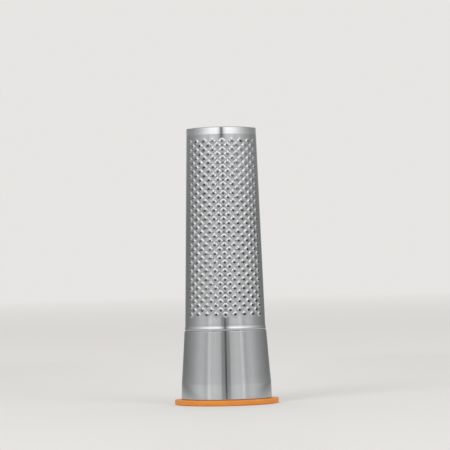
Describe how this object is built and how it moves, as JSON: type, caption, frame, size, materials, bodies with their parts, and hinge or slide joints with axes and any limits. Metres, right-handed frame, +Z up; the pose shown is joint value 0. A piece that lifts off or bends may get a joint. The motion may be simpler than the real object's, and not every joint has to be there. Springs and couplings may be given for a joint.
{
  "type": "nutmeg grater",
  "caption": "Half-round tapered hand grater with punched sharp burrs, a rolled bead, a flat back and a nutmeg store closed by a push-in plastic cap.",
  "frame": {"origin": "middle of the box of the whole object, on the flat underside of the cap that it stands on", "axes": "+Z up from the cap to the narrow open end, -Y the way the rounded grating face looks, +Y the way the flat back looks, X across"},
  "size_m": [0.0588, 0.0264, 0.1558],
  "materials": {
    "tinplate": "bright rolled tinplate",
    "cap_plastic": "moulded orange plastic with a soft sheen"
  },
  "bodies": {
    "grater_body": {"grating_shell": "tinplate", "store_wall": "tinplate", "back_plate": "tinplate", "store_divider": "tinplate"},
    "cap": {"store_cap": "cap_plastic"}
  },
  "joints": [
    {"name": "cap_slide", "type": "slide", "parent": "grater_body", "child": "cap", "axis": [0, 0, -1], "range_m": [0, 0.04]}
  ]
}
